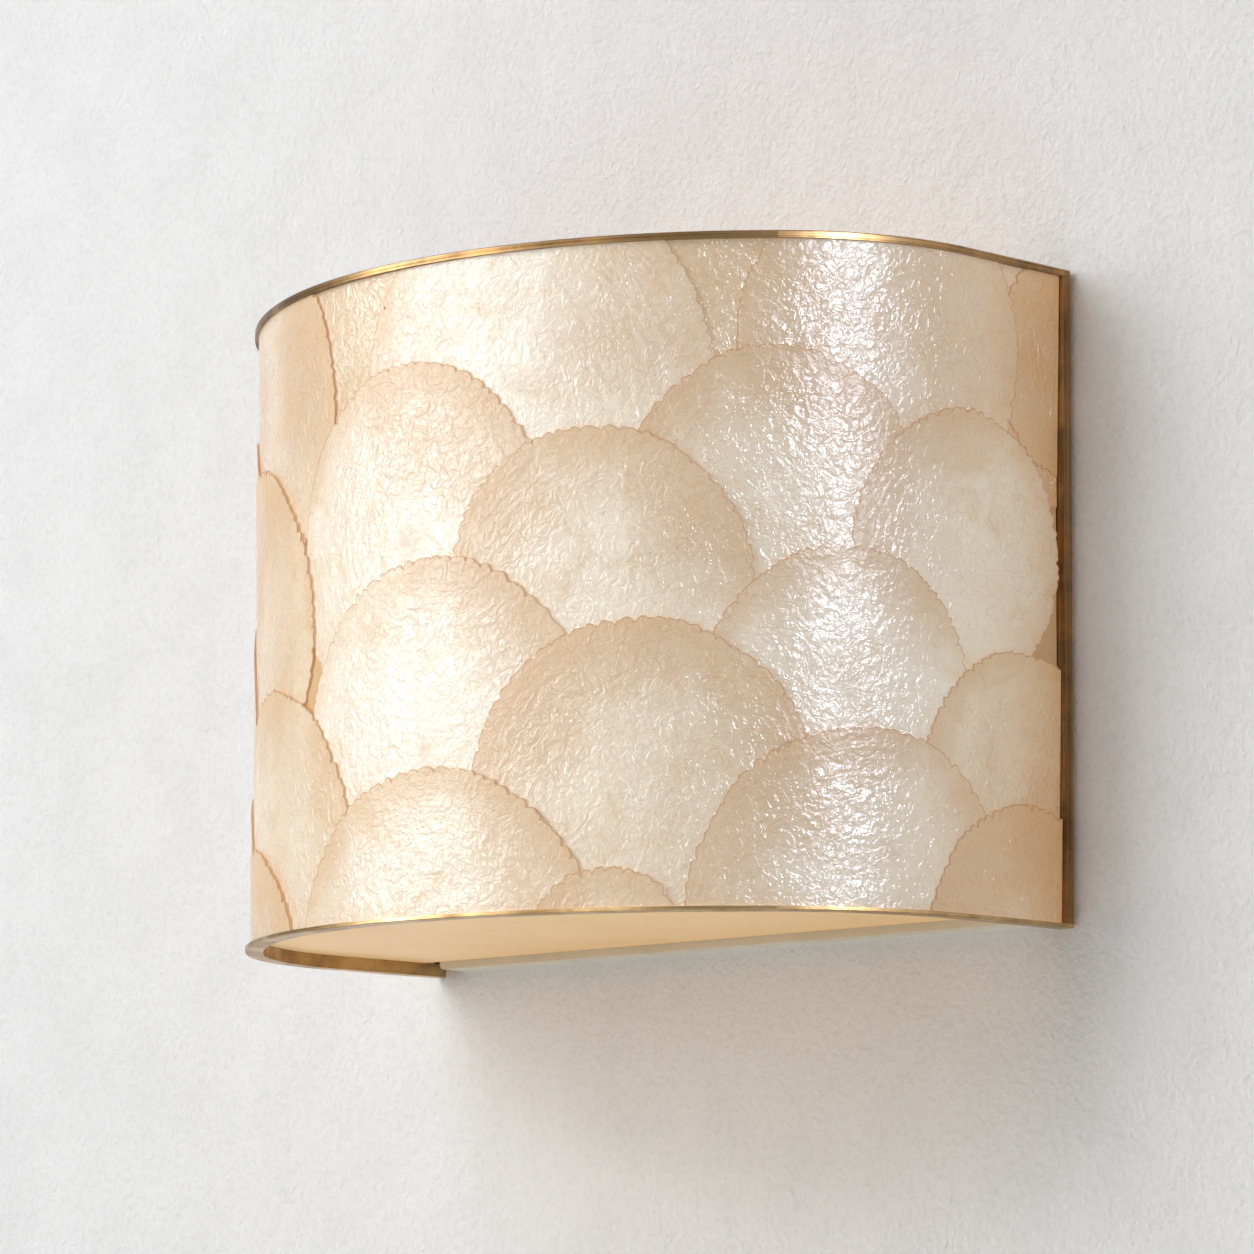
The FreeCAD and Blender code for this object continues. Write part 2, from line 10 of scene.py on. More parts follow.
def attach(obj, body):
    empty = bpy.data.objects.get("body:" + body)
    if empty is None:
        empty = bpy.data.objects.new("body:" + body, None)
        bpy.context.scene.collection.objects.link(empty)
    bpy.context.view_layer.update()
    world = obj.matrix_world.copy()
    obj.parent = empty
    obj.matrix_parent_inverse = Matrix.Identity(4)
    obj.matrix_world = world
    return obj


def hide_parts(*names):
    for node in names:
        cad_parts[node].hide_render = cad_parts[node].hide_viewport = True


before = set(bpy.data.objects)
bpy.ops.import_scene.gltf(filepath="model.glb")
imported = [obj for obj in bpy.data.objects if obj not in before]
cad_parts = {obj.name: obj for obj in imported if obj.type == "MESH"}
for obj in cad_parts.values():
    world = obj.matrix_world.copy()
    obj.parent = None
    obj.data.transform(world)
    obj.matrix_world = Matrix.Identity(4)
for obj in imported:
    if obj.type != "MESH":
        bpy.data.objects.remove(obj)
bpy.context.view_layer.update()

# The shell wall sconce's looks, in metres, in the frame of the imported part.

# Sizes repeated from the part's source
WIDTH = 0.300
DEPTH = 0.160
HEIGHT = 0.211
SIDE_RETURN = 0.049  # straight run of each side before it starts to curve
SIDE_RADIUS = 0.084  # outline radius at the two front corners
WALL_GAP = 0.001  # the shade's back edge stands clear of the wall
TOP_LIP = 0.0023
BOTTOM_LIP = 0.0013
LIP_PROUD = 0.0007  # the lips stand this far outside the outermost shell
STILE_FACE = 0.0035
PANEL_GROOVE = 0.0004  # shadow line between the stile and the shell panel
SHELL_THICKNESS = 0.0005
SHELL_LAP_GAP = 0.0001
SHELL_RADIUS = 0.056  # of a typical shell
ROW_PITCH = 0.030
FIRST_ROW_ABOVE = 0.027  # nominal top of the first row, above the top of the shade
TUCKED_TAIL = 0.020  # how far a shell runs on beneath the second row below it
SHELL_RELIEF = 0.0025  # room for the lapped rows between the liner and the outermost shell

# For each shell of each row from the top: place, in hundredths of the way from the middle of the
# front (0) to the right-hand stile (100) or the left one (-100); height above the row's nominal
# top, in millimetres; and size, in hundredths of the typical radius.
SHELL_ROWS = [
    [(-59, 0, 107), (-8, 0, 107), (46, 0, 107), (89, 0, 107)],
    [(-81, 24, 111), (-35, 24, 107), (21, 24, 118), (70, 24, 95), (102, 12, 71)],
    [(-59, 0, 104), (3, 1, 104), (54, -2, 89)],
    [(-92, 2, 93), (-40, 11, 107), (31, 5, 95), (81, 12, 79)],
    [(-65, 0, 104), (7, -2, 112), (63, -4, 82)],
    [(-87, 2, 93), (-30, -6, 107), (37, 4, 107), (91, -2, 82)],
    [(-63, 0, 107), (7, -9, 121), (66, 0, 104)],
    [(-94, 6, 86), (-42, 5, 107), (33, -13, 50), (92, 10, 82)],
]

# For each shell, how amber it is: 0 pale, 1 deep
SHELL_TONES = [
    [0.60, 0.85, 0.90, 0.95],
    [0.60, 0.70, 0.35, 0.50, 0.85],
    [0.75, 0.45, 0.50],
    [0.65, 0.80, 0.45, 0.50],
    [0.65, 0.40, 0.42],
    [0.65, 0.70, 0.55, 0.75],
    [0.75, 0.55, 0.50],
    [0.65, 0.90, 0.60, 0.75],
]

# Worked out from the sizes above
half_width = WIDTH / 2
bottom = -HEIGHT / 2
top = HEIGHT / 2
rise = DEPTH - SIDE_RETURN
front_radius = (half_width**2 + rise**2 - 2 * half_width * SIDE_RADIUS) / (2 * (rise - SIDE_RADIUS))
side_centre = half_width - SIDE_RADIUS
front_centre = front_radius - DEPTH
front_angle = math.atan2(side_centre, front_centre + SIDE_RETURN)
front_length = front_radius * front_angle
corner_length = SIDE_RADIUS * (math.pi / 2 - front_angle)
half_outline = front_length + corner_length + SIDE_RETURN
liner_outside = LIP_PROUD + SHELL_RELIEF
panel_bottom = bottom + BOTTOM_LIP
panel_top = top - TOP_LIP
panel_run = half_outline - WALL_GAP - STILE_FACE - PANEL_GROOVE
shell_slope = (SHELL_THICKNESS + SHELL_LAP_GAP) / ROW_PITCH


def outline(run, inset, height):
    """Points on the half-drum, run from the front's middle, inset from the outside."""
    run, inset, height = np.broadcast_arrays(*(np.asarray(v, float) for v in (run, inset, height)))
    side = np.where(run < 0, -1.0, 1.0)
    along = np.abs(run)
    front = along <= front_length
    angle = np.where(front, along / front_radius, front_angle + (along - front_length) / SIDE_RADIUS)
    angle = np.minimum(angle, math.pi / 2)
    straight = np.maximum(along - front_length - corner_length, 0)
    radius = np.where(front, front_radius, SIDE_RADIUS) - inset
    x = np.where(front, 0, side_centre) + radius * np.sin(angle)
    y = np.where(front, front_centre, straight - SIDE_RETURN) - radius * np.cos(angle)
    return np.stack([side * x, y, height], axis=-1)


def new_object(name, points, faces, material):
    """A mesh of one material, shaded smooth."""
    mesh = bpy.data.meshes.new(name)
    mesh.from_pydata([tuple(p) for p in points], [], [tuple(int(i) for i in f) for f in faces])
    mesh.materials.append(material)
    for polygon in mesh.polygons:
        polygon.use_smooth = True
    thing = bpy.data.objects.new(name, mesh)
    bpy.context.scene.collection.objects.link(thing)
    return thing


def store(thing, name, values):
    """Keep a number or a vector for each vertex, for the material to read."""
    kind, key = ("FLOAT_VECTOR", "vector") if values.ndim == 2 else ("FLOAT", "value")
    attribute = thing.data.attributes.new(name, kind, "POINT")
    attribute.data.foreach_set(key, np.asarray(values, np.float32).ravel())


# ---------------------------------------------------------------- materials


def srgb(red, green, blue):
    """A colour as seen, 0 to 255, as the light that makes it, by the sRGB curve."""
    seen = [c / 255 for c in (red, green, blue)]
    return tuple(c / 12.92 if c <= 0.04045 else ((c + 0.055) / 1.055) ** 2.4 for c in seen) + (1.0,)


class Shader:
    """One material's nodes, written as short calls that give back an output. Scales of noise are
    per metre, and colours are as seen, 0 to 255."""

    NOISE_MIDDLE = (0.5, 0.5, 0.5)
    # The sockets of a Mix node that are for colours
    MIX_A = 6
    MIX_B = 7
    MIX_RESULT = 2

    def __init__(self, name):
        self.material = bpy.data.materials.new(name)
        self.material.use_nodes = True
        self.tree = self.material.node_tree
        self.tree.nodes.clear()

    def node(self, kind, inputs=(), out=0, **settings):
        made = self.tree.nodes.new(kind)
        for key, value in settings.items():
            setattr(made, key, value)
        for key, value in dict(inputs).items():
            if isinstance(value, bpy.types.NodeSocket):
                self.tree.links.new(value, made.inputs[key])
            else:
                made.inputs[key].default_value = value
        return made.outputs[out]

    def attribute(self, name, out="Vector"):
        return self.node("ShaderNodeAttribute", attribute_name=name, out=out)

    def place(self):
        return self.node("ShaderNodeTexCoord", out="Object")

    def scaled(self, vector, x, y, z):
        return self.node("ShaderNodeVectorMath", {0: vector, 1: (x, y, z)}, operation="MULTIPLY")

    def noise(self, vector, scale, detail=3.0, roughness=0.55, distortion=0.0, out=0):
        values = {"Vector": vector, "Scale": scale, "Detail": detail, "Roughness": roughness}
        values["Distortion"] = distortion
        return self.node("ShaderNodeTexNoise", values, out=out)

    def warped(self, vector, scale, amount):
        """The vector pushed about by a slow noise."""
        push = self.noise(vector, scale, detail=2.0, out="Color")
        push = self.node("ShaderNodeVectorMath", {0: push, 1: self.NOISE_MIDDLE}, operation="SUBTRACT")
        push = self.node("ShaderNodeVectorMath", {0: push, "Scale": amount}, operation="SCALE")
        return self.node("ShaderNodeVectorMath", {0: vector, 1: push}, operation="ADD")

    def cracks(self, vector, scale):
        """Distance from a net of cell edges, nought on the net."""
        values = {"Vector": vector, "Scale": scale}
        return self.node("ShaderNodeTexVoronoi", values, feature="DISTANCE_TO_EDGE")

    def folds(self, vector, scale, count):
        """Sharp crooked ridges and valleys with straight slopes between them."""
        wave = self.noise(vector, scale, detail=1.0, roughness=0.4)
        return self.math("PINGPONG", self.times(wave, count), 1.0)

    def math(self, operation, a, b):
        return self.node("ShaderNodeMath", {0: a, 1: b}, operation=operation)

    def add(self, a, b):
        return self.math("ADD", a, b)

    def times(self, a, b):
        return self.math("MULTIPLY", a, b)

    def spread(self, value, low, high, to_low=0.0, to_high=1.0):
        """Value from low..high to to_low..to_high, with soft ends."""
        inputs = {"Value": value, "From Min": low, "From Max": high, "To Min": to_low, "To Max": to_high}
        return self.node("ShaderNodeMapRange", inputs, interpolation_type="SMOOTHSTEP")

    def mix(self, factor, a, b):
        inputs = {0: factor, self.MIX_A: a, self.MIX_B: b}
        return self.node("ShaderNodeMix", inputs, data_type="RGBA", out=self.MIX_RESULT)

    def between(self, factor, colours):
        """The first colour of a pair where the factor is 0, the second where it is 1."""
        first, second = colours
        return self.mix(factor, srgb(*first), srgb(*second))

    def stain(self, colour, factor, other):
        """The colour, with some of another one over it."""
        return self.mix(factor, colour, srgb(*other))

    def bump(self, height, distance, strength):
        inputs = {"Height": height, "Distance": distance, "Strength": strength}
        return self.node("ShaderNodeBump", inputs)

    def principled(self, **inputs):
        """A Principled shader; an underscore in an input's name stands for a space."""
        named = {key.replace("_", " "): value for key, value in inputs.items()}
        return self.node("ShaderNodeBsdfPrincipled", named)

    def surface(self, shader):
        output = self.tree.nodes.new("ShaderNodeOutputMaterial")
        self.tree.links.new(shader, output.inputs["Surface"])
        return self.material

    def finish(self, **inputs):
        return self.surface(self.principled(**inputs))


# The shells' colours. Of a pair, the first is a pale shell's and the second an amber one's.
FEW_BEHIND = ((251, 245, 232), (248, 229, 196))
MANY_BEHIND = ((228, 209, 188), (212, 177, 134))
BLOTCHES = ((234, 208, 172), (211, 168, 112))
RIM_BAND = (219, 186, 142)
# Painted shade: the shells turn darker amber towards the stiles
WALL_AMBER_SHADE = (222, 170, 102)
RIM_LINE = (178, 124, 68)
# Painted shade along the net of creases
NET_CREASE_SHADE = (178, 130, 86)

# Their painted glow, for light coming through the shells. Of the pair, the first is for few
# shells behind and the second for many.
GLOW = ((255, 244, 224), (240, 202, 158))
# Painted glow, amber, towards the stiles
WALL_AMBER_SHADE_GLOW = (214, 150, 80)

# How far the cloud and the tone count as shells behind
CLOUD_AS_SHELLS = 1.4
PALE_AS_SHELLS = -0.35
AMBER_AS_SHELLS = 0.9

# How far noise moves the borders of the rim's band and of the painted amber shade and glow by the wall
BAND_WANDER = 0.016
WALL_SHADE_WANDER = 0.09

# Share of each relief in the depth of the bumps
FOLDS = 0.30
SMALL_FOLDS = 0.10
STROKES = 0.70
NET_GROOVES = 0.10


def capiz():
    """Thin pearly shell: cloudy cream and amber with a fine brown line at its edge, paler where
    fewer shells lie behind, under a skin creased like foil that glints in the middle of a shell.
    Painted shade darkens its creases and turns it amber by the stiles, and a painted glow stands
    in for light coming through it."""
    s = Shader("capiz_shell_look")
    flat = s.attribute("flat")
    swirl = s.attribute("swirl")
    rim = s.attribute("rim", "Fac")
    layers = s.attribute("layers", "Fac")
    tone = s.attribute("tone", "Fac")
    to_wall = s.attribute("to_wall", "Fac")

    bent = s.warped(flat, scale=70.0, amount=0.008)
    curled = s.warped(bent, scale=230.0, amount=0.005)
    cloud = s.noise(bent, scale=30.0, detail=4.0, roughness=0.6)
    blotch = s.noise(flat, scale=60.0, detail=4.0, roughness=0.6, distortion=0.8)
    stroke = s.noise(swirl, scale=330.0, roughness=0.5, distortion=0.8)
    folds = s.folds(curled, scale=160.0, count=7.0)
    small_folds = s.folds(curled, scale=420.0, count=4.0)
    net = s.cracks(curled, scale=270.0)

    behind = s.add(layers, s.times(cloud, CLOUD_AS_SHELLS))
    behind = s.add(behind, s.spread(tone, 0.0, 1.0, to_low=PALE_AS_SHELLS, to_high=AMBER_AS_SHELLS))
    thin = s.between(tone, FEW_BEHIND)
    thick = s.between(tone, MANY_BEHIND)
    colour = s.mix(s.spread(behind, 0.3, 2.5), thin, thick)
    blotched = s.spread(blotch, 0.48, 0.74, to_high=0.6)
    colour = s.mix(blotched, colour, s.between(tone, BLOTCHES))
    wander = s.times(s.noise(bent, scale=120.0, detail=4.0), BAND_WANDER)
    near_rim = s.spread(s.math("SUBTRACT", rim, wander), -0.0082, 0.0026, to_low=0.34, to_high=0.0)
    colour = s.stain(colour, near_rim, RIM_BAND)
    # Painted amber shade towards the stiles, where the panel turns back to the wall; the same mask tints
    # the painted glow below
    wander = s.times(cloud, WALL_SHADE_WANDER)
    wall_shade_and_glow = s.spread(s.add(to_wall, wander), 0.032, 0.078, to_low=0.70, to_high=0.0)
    colour = s.stain(colour, wall_shade_and_glow, WALL_AMBER_SHADE)
    colour = s.stain(colour, s.spread(rim, 0.0001, 0.0006, to_low=0.85, to_high=0.0), RIM_LINE)
    # Painted shade in the creases, on the same net as the bump's grooves
    colour = s.stain(colour, s.spread(net, 0.0, 0.045, to_low=0.26, to_high=0.0), NET_CREASE_SHADE)

    height = s.times(folds, FOLDS)
    height = s.add(height, s.times(small_folds, SMALL_FOLDS))
    height = s.add(height, s.times(stroke, STROKES))
    height = s.add(height, s.spread(net, 0.0, 0.12, to_high=NET_GROOVES))

    middle_polish = s.spread(rim, 0.001, 0.020, to_low=0.25)
    blotch_polish = s.spread(blotch, 0.3, 0.6, to_low=1.0, to_high=0.55)
    glow = s.between(s.spread(behind, 0.45, 2.2), GLOW)
    return s.finish(
        Base_Color=colour,
        Roughness=0.42,
        Normal=s.bump(height, distance=0.0006, strength=0.45),
        IOR=1.5,
        Specular_Tint=(0.97, 0.96, 1.0, 1.0),
        Coat_Weight=s.times(middle_polish, blotch_polish),
        Coat_Roughness=s.spread(folds, 0.2, 0.8, to_low=0.26, to_high=0.17),
        Coat_IOR=1.7,
        Coat_Normal=s.bump(height, distance=0.0008, strength=1.0),
        Emission_Color=s.stain(glow, wall_shade_and_glow, WALL_AMBER_SHADE_GLOW),
        Emission_Strength=0.21,
    )


BRUSH_ALONG = 9.0
BRUSH_ACROSS = 2600.0
BRUSHED_LEVEL = (BRUSH_ALONG, BRUSH_ALONG, BRUSH_ACROSS)
BRUSHED_UPRIGHT = (BRUSH_ACROSS, BRUSH_ACROSS, BRUSH_ALONG)
BRUSHED_BRASS = (204, 174, 130)  # where the brushing has rubbed it bright


def brass(name, brushing, colours):
    """Antique brass with a warm brown patina in patches, brushed along the bar: brushing says how
    fine it is along each axis, and the second colour is the patina's."""
    s = Shader(name)
    place = s.place()
    streak = s.noise(s.scaled(place, *brushing), scale=1.0)
    patina = s.noise(place, scale=60.0, detail=5.0, roughness=0.65)
    grain = s.noise(place, scale=1500.0, detail=2.0)
    colour = s.between(s.spread(patina, 0.32, 0.68), colours)
    height = s.add(streak, s.times(grain, 0.4))
    return s.finish(
        Base_Color=s.stain(colour, s.spread(streak, 0.35, 0.65, to_high=0.35), BRUSHED_BRASS),
        Metallic=1.0,
        Roughness=s.spread(patina, 0.3, 0.7, to_low=0.28, to_high=0.44),
        Normal=s.bump(height, distance=0.00004, strength=0.7),
    )


def frosted(name, colours, roughness, glow):
    """Milky sheet with a soft upright mottle, and a painted glow of light coming through it from behind.
    """
    s = Shader(name)
    place = s.place()
    mottle = s.noise(s.scaled(place, 14.0, 14.0, 5.0), scale=1.0)
    fine = s.noise(place, scale=900.0)
    return s.finish(
        Base_Color=s.between(s.spread(mottle, 0.3, 0.7), colours),
        Roughness=s.spread(fine, 0.3, 0.7, to_low=roughness - 0.05, to_high=roughness + 0.08),
        Normal=s.bump(fine, distance=0.00003, strength=0.5),
        IOR=1.49,
        Emission_Color=srgb(255, 214, 150),
        Emission_Strength=glow,
    )


def enamel():
    """Cream powder coat with a faint orange peel and rubbed, darker patches."""
    s = Shader("cream_enamel_look")
    place = s.place()
    peel = s.noise(place, scale=620.0, detail=2.0)
    cloud = s.noise(place, scale=22.0, detail=4.0)
    return s.finish(
        Base_Color=s.between(s.spread(cloud, 0.35, 0.7), ((238, 229, 210), (226, 214, 190))),
        Roughness=s.spread(peel, 0.3, 0.7, to_low=0.36, to_high=0.46),
        Normal=s.bump(peel, distance=0.00006, strength=0.6),
    )


def plain_metal(name, colours, grain_scale):
    """Plated or turned metal with fine grain and a cloudy tarnish."""
    s = Shader(name)
    place = s.place()
    grain = s.noise(s.scaled(place, 1.0, 1.0, 4.0), grain_scale)
    cloud = s.noise(place, scale=150.0, detail=4.0)
    return s.finish(
        Base_Color=s.between(s.spread(cloud, 0.35, 0.65), colours),
        Metallic=1.0,
        Roughness=s.spread(grain, 0.3, 0.7, to_low=0.24, to_high=0.42),
        Normal=s.bump(grain, distance=0.00003, strength=0.7),
    )


def porcelain():
    """Glazed white with a faint cloud and a few brown specks."""
    s = Shader("holder_porcelain_look")
    place = s.place()
    cloud = s.noise(place, scale=60.0)
    speck = s.noise(place, scale=900.0, detail=2.0)
    colour = s.between(s.spread(cloud, 0.35, 0.65), ((244, 241, 233), (234, 229, 217)))
    return s.finish(
        Base_Color=s.stain(colour, s.spread(speck, 0.72, 0.8, to_high=0.3), (170, 156, 134)),
        Roughness=s.spread(cloud, 0.3, 0.7, to_low=0.12, to_high=0.2),
        Normal=s.bump(cloud, distance=0.0001, strength=0.4),
        Coat_Weight=0.4,
    )


def rubber():
    """Dull black plastic with a fine grain."""
    s = Shader("grommet_plastic_look")
    grain = s.noise(s.place(), scale=1400.0)
    return s.finish(
        Base_Color=s.between(s.spread(grain, 0.3, 0.7), ((48, 45, 42), (66, 62, 58))),
        Roughness=s.spread(grain, 0.3, 0.7, to_low=0.5, to_high=0.65),
        Normal=s.bump(grain, distance=0.00005, strength=0.6),
    )


def opal_glass():
    """Opal lamp glass: milky white with a faint cloud in the coating."""
    s = Shader("lamp_glass_look")
    cloud = s.noise(s.place(), scale=55.0, detail=4.0)
    return s.finish(
        Base_Color=s.between(s.spread(cloud, 0.3, 0.7), ((250, 246, 236), (240, 232, 216))),
        Roughness=s.spread(cloud, 0.3, 0.7, to_low=0.16, to_high=0.24),
        Normal=s.bump(cloud, distance=0.0001, strength=0.3),
        IOR=1.5,
        Emission_Color=srgb(255, 222, 170),
        Emission_Strength=0.6,
    )


# ---------------------------------------------------------------- shells

# Edge of a shell
EDGE_INSIDE = 0.0008  # from the shell's nominal radius in to the tips of its lobes
WANDER = 0.0011
WANDER_RANGE = (0.3, 1.0)
WANDER_TURNS = range(2, 12)
WANDER_SHARE = 0.55
LOBE_SHORT = 0.0030
LOBE_LONG = 0.0080
LOBE_DEPTH = 0.0017
LOBE_DEPTH_RANGE = (0.15, 1.35)
LOBE_LEAN_RANGE = (0.55, 1.7)
CHIP = 0.00012
CHIP_WAVES = 6
CHIP_TURNS = (40, 120)

# Sheet of a shell
SHEET = 0.00045
FACE_ABOVE = 0.00035  # its outer face over the course that its row is laid to
CHAIN_TILT = 0.00015  # rise of its right-hand edge over its middle
TAIL_LONGER = 0.024  # how much further down it runs than the solid does
CURL = 0.00005
CURL_WIDTH = 0.003
CURL_TURNS = 17
CREASE = 0.00008
CREASE_FADE = 0.004
WRINKLES_OUTWARD = 150  # a metre, along a radius
WRINKLES_ROUND = 5.0  # a radian, round the middle
WRINKLES_ALL_OVER = 120  # a metre, along and across
ROUND_SHARE = 0.55
ANOTHER_SEED = 7.0
FRACTAL = (1.0, 2.0, 3)  # how noise layers fade, how they get finer and how many there are

# Mesh of a shell
EDGE_STEP = 0.00055
SECOND_RING = 0.0007  # how far inside the edge
THIRD_RING = 0.0028
GRID_INSIDE = 0.0042
GRID = 0.0022
GRID_SHAKE = 0.12
TRIANGLE_HEIGHT = 0.866  # of an even triangle, for a side of 1
WELD = 1e-7
SHARP_ANGLE = math.radians(50)

# What the shells' material reads
STROKE_CIRCLE = 0.012  # the smaller, the longer the strokes that run round the shell's middle
COVER_AT_EDGE = 0.22  # share of a shell's cover that it has from its edge on
COVER_EDGE = (0.0, 0.0015)
COVER_REST = (-0.004, 0.026)
COVER_TAIL = 0.020


def rim_shape(radius, dice):
    """The edge all round as a distance from the middle: small round lobes on a slow wander."""
    notches = [0.0]
    while notches[-1] < math.tau - LOBE_LONG / radius:
        notches.append(notches[-1] + dice.uniform(LOBE_SHORT, LOBE_LONG) / radius)
    notches[-1] = math.tau
    depths = [LOBE_DEPTH * dice.uniform(*LOBE_DEPTH_RANGE) for _ in notches]
    chips = [(dice.randint(*CHIP_TURNS), dice.uniform(0, math.tau)) for _ in range(CHIP_WAVES)]
    waves = []
    for turn in WANDER_TURNS:
        phase = dice.uniform(0, math.tau)
        waves.append((turn, phase, WANDER * dice.uniform(*WANDER_RANGE) / turn**0.5))
    leans = [dice.uniform(*LOBE_LEAN_RANGE) for _ in notches]
    notches, depths, leans = np.array(notches), np.array(depths), np.array(leans)

    def slow(angle):
        offset = sum(size * np.cos(turn * angle + phase) for turn, phase, size in waves)
        return radius - EDGE_INSIDE + WANDER_SHARE * offset

    def edge(angle):
        angle = np.mod(angle, math.tau)
        lobe = np.clip(np.searchsorted(notches, angle, side="right") - 1, 0, len(notches) - 2)
        share = ((angle - notches[lobe]) / (notches[lobe + 1] - notches[lobe])) ** leans[lobe]
        hollow = 1 - np.sqrt(np.clip(4 * share * (1 - share), 0, 1))
        rough = CHIP * sum(np.cos(turn * angle + phase) for turn, phase in chips)
        return slow(angle) + rough - depths[lobe] * hollow

    return slow, edge


def polar(radius, angle):
    return np.stack([radius * np.cos(angle), radius * np.sin(angle)], axis=-1)


def disc_mesh(slow, edge, radius, dice):
    """A flat disc as triangles, fine along its edge, in the shell's own plane."""
    count = int(math.tau * radius / EDGE_STEP)
    first = np.arange(count) * math.tau / count
    second = first[::2] + first[1] / 2
    third = first[::3] + first[1] / 2
    points = [
        polar(edge(first), first),
        polar(edge(second) - SECOND_RING, second),
        polar(slow(third) - THIRD_RING, third),
    ]
    rows = int(radius / (GRID * TRIANGLE_HEIGHT)) + 1
    for row in range(-rows, rows + 1):
        across = np.arange(-rows, rows + 1) * GRID + (GRID / 2 if row % 2 else 0)
        line = np.stack([across, np.full_like(across, row * GRID * TRIANGLE_HEIGHT)], axis=-1)
        shake = np.array([[dice.uniform(-1, 1), dice.uniform(-1, 1)] for _ in line])
        line += shake * GRID * GRID_SHAKE
        around = np.arctan2(line[:, 1], line[:, 0])
        points.append(line[np.hypot(line[:, 0], line[:, 1]) < slow(around) - GRID_INSIDE])
    points = [Vector(point) for point in np.concatenate(points)]
    loop = [(i, (i + 1) % count) for i in range(count)]
    made = geometry.delaunay_2d_cdt(points, loop, [], 0, WELD)
    corners = np.array([tuple(corner) for corner in made[0]])
    triangles = made[2]
    middles = corners[np.array(triangles)].mean(axis=1)
    inside = np.hypot(middles[:, 0], middles[:, 1]) < edge(np.arctan2(middles[:, 1], middles[:, 0]))
    return corners, [triangle for triangle, keep in zip(triangles, inside) if keep]


def trimmed(corners, faces, planes):
    """The flat mesh, cut off along each plane: a point on it and the direction to drop. Gives its
    corners, its faces and the edges along its border."""
    flat = bmesh.new()
    for corner in corners:
        flat.verts.new((corner[0], corner[1], 0))
    flat.verts.ensure_lookup_table()
    for face in faces:
        flat.faces.new([flat.verts[i] for i in face])
    for point, away in planes:
        everything = flat.verts[:] + flat.edges[:] + flat.faces[:]
        plane = {"plane_co": (*point, 0), "plane_no": (*away, 0), "clear_outer": True}
        bmesh.ops.bisect_plane(flat, geom=everything, dist=WELD, **plane)
    loose = [vertex for vertex in flat.verts if not vertex.link_faces]
    bmesh.ops.delete(flat, geom=loose, context="VERTS")
    flat.verts.index_update()
    corners = np.array([vertex.co[:2] for vertex in flat.verts]).reshape(-1, 2)
    faces = [[vertex.index for vertex in face.verts] for face in flat.faces]
    borders = []
    for edge in flat.edges:
        if len(edge.link_faces) == 1:
            loop = edge.link_loops[0]
            borders.append((loop.vert.index, loop.link_loop_next.vert.index))
    flat.free()
    return corners, faces, borders


def wrinkles(local, seed):
    """Real creases of the sheet: ridges that run mostly round the shell's middle."""
    heights = []
    for x, y in local:
        outward = math.hypot(x, y) * WRINKLES_OUTWARD
        around = math.atan2(y, x) * WRINKLES_ROUND
        place = Vector((outward, around, seed))
        rounded = noise.fractal(place, *FRACTAL)
        place = Vector((x * WRINKLES_ALL_OVER, y * WRINKLES_ALL_OVER, seed + ANOTHER_SEED))
        all_over = noise.fractal(place, *FRACTAL)
        heights.append(ROUND_SHARE * rounded + (1 - ROUND_SHARE) * all_over)
    return np.array(heights)


def soft_step(value, low, high):
    share = np.clip((value - low) / (high - low), 0, 1)
    return share * share * (3 - 2 * share)


class Shell:
    """One shell's place, size and edge, laid out on the unrolled panel."""

    def __init__(self, number, index):
        share, lift, size = SHELL_ROWS[number][index]
        self.name = f"shell_{number + 1}_{index + 1}"
        self.number = number
        self.index = index
        self.tone = SHELL_TONES[number][index]
        self.dice = random.Random(self.name)
        self.top = top + FIRST_ROW_ABOVE - ROW_PITCH * number
        self.tail = self.top - 2 * ROW_PITCH - TUCKED_TAIL
        self.radius = SHELL_RADIUS * size / 100
        self.centre = np.array([half_outline * share / 100, self.top + lift / 1000 - self.radius])
        self.slow, self.edge = rim_shape(self.radius, self.dice)
        self.seed = self.dice.uniform(0, 50)

    def lies_under(self, other):
        if self.number != other.number:
            return self.number < other.number
        return self.index > other.index

    def rim_distance(self, corners):
        """How far each point is inside the edge, and the direction from the middle."""
        local = corners - self.centre
        around = np.arctan2(local[:, 1], local[:, 0])
        return self.edge(around) - np.hypot(local[:, 0], local[:, 1]), around

    def cover(self, corners):
        """How much this shell shows behind another: 1 where it is, fading out at its edge and
        towards its tucked tail."""
        distance = self.rim_distance(corners)[0]
        at_edge = COVER_AT_EDGE * soft_step(distance, *COVER_EDGE)
        inside = at_edge + (1 - COVER_AT_EDGE) * soft_step(distance, *COVER_REST)
        return inside * soft_step(corners[:, 1] - self.tail, -TAIL_LONGER, COVER_TAIL)

    def flat_sheet(self):
        """The shell on the unrolled panel, cut off where the frame begins and at its tail."""
        corners, faces = disc_mesh(self.slow, self.edge, self.radius, self.dice)
        planes = [
            ((0, panel_top), (0, 1)),
            ((0, max(panel_bottom, self.tail - TAIL_LONGER)), (0, -1)),
            ((panel_run, 0), (1, 0)),
            ((-panel_run, 0), (-1, 0)),
        ]
        return trimmed(corners + self.centre, faces, planes)


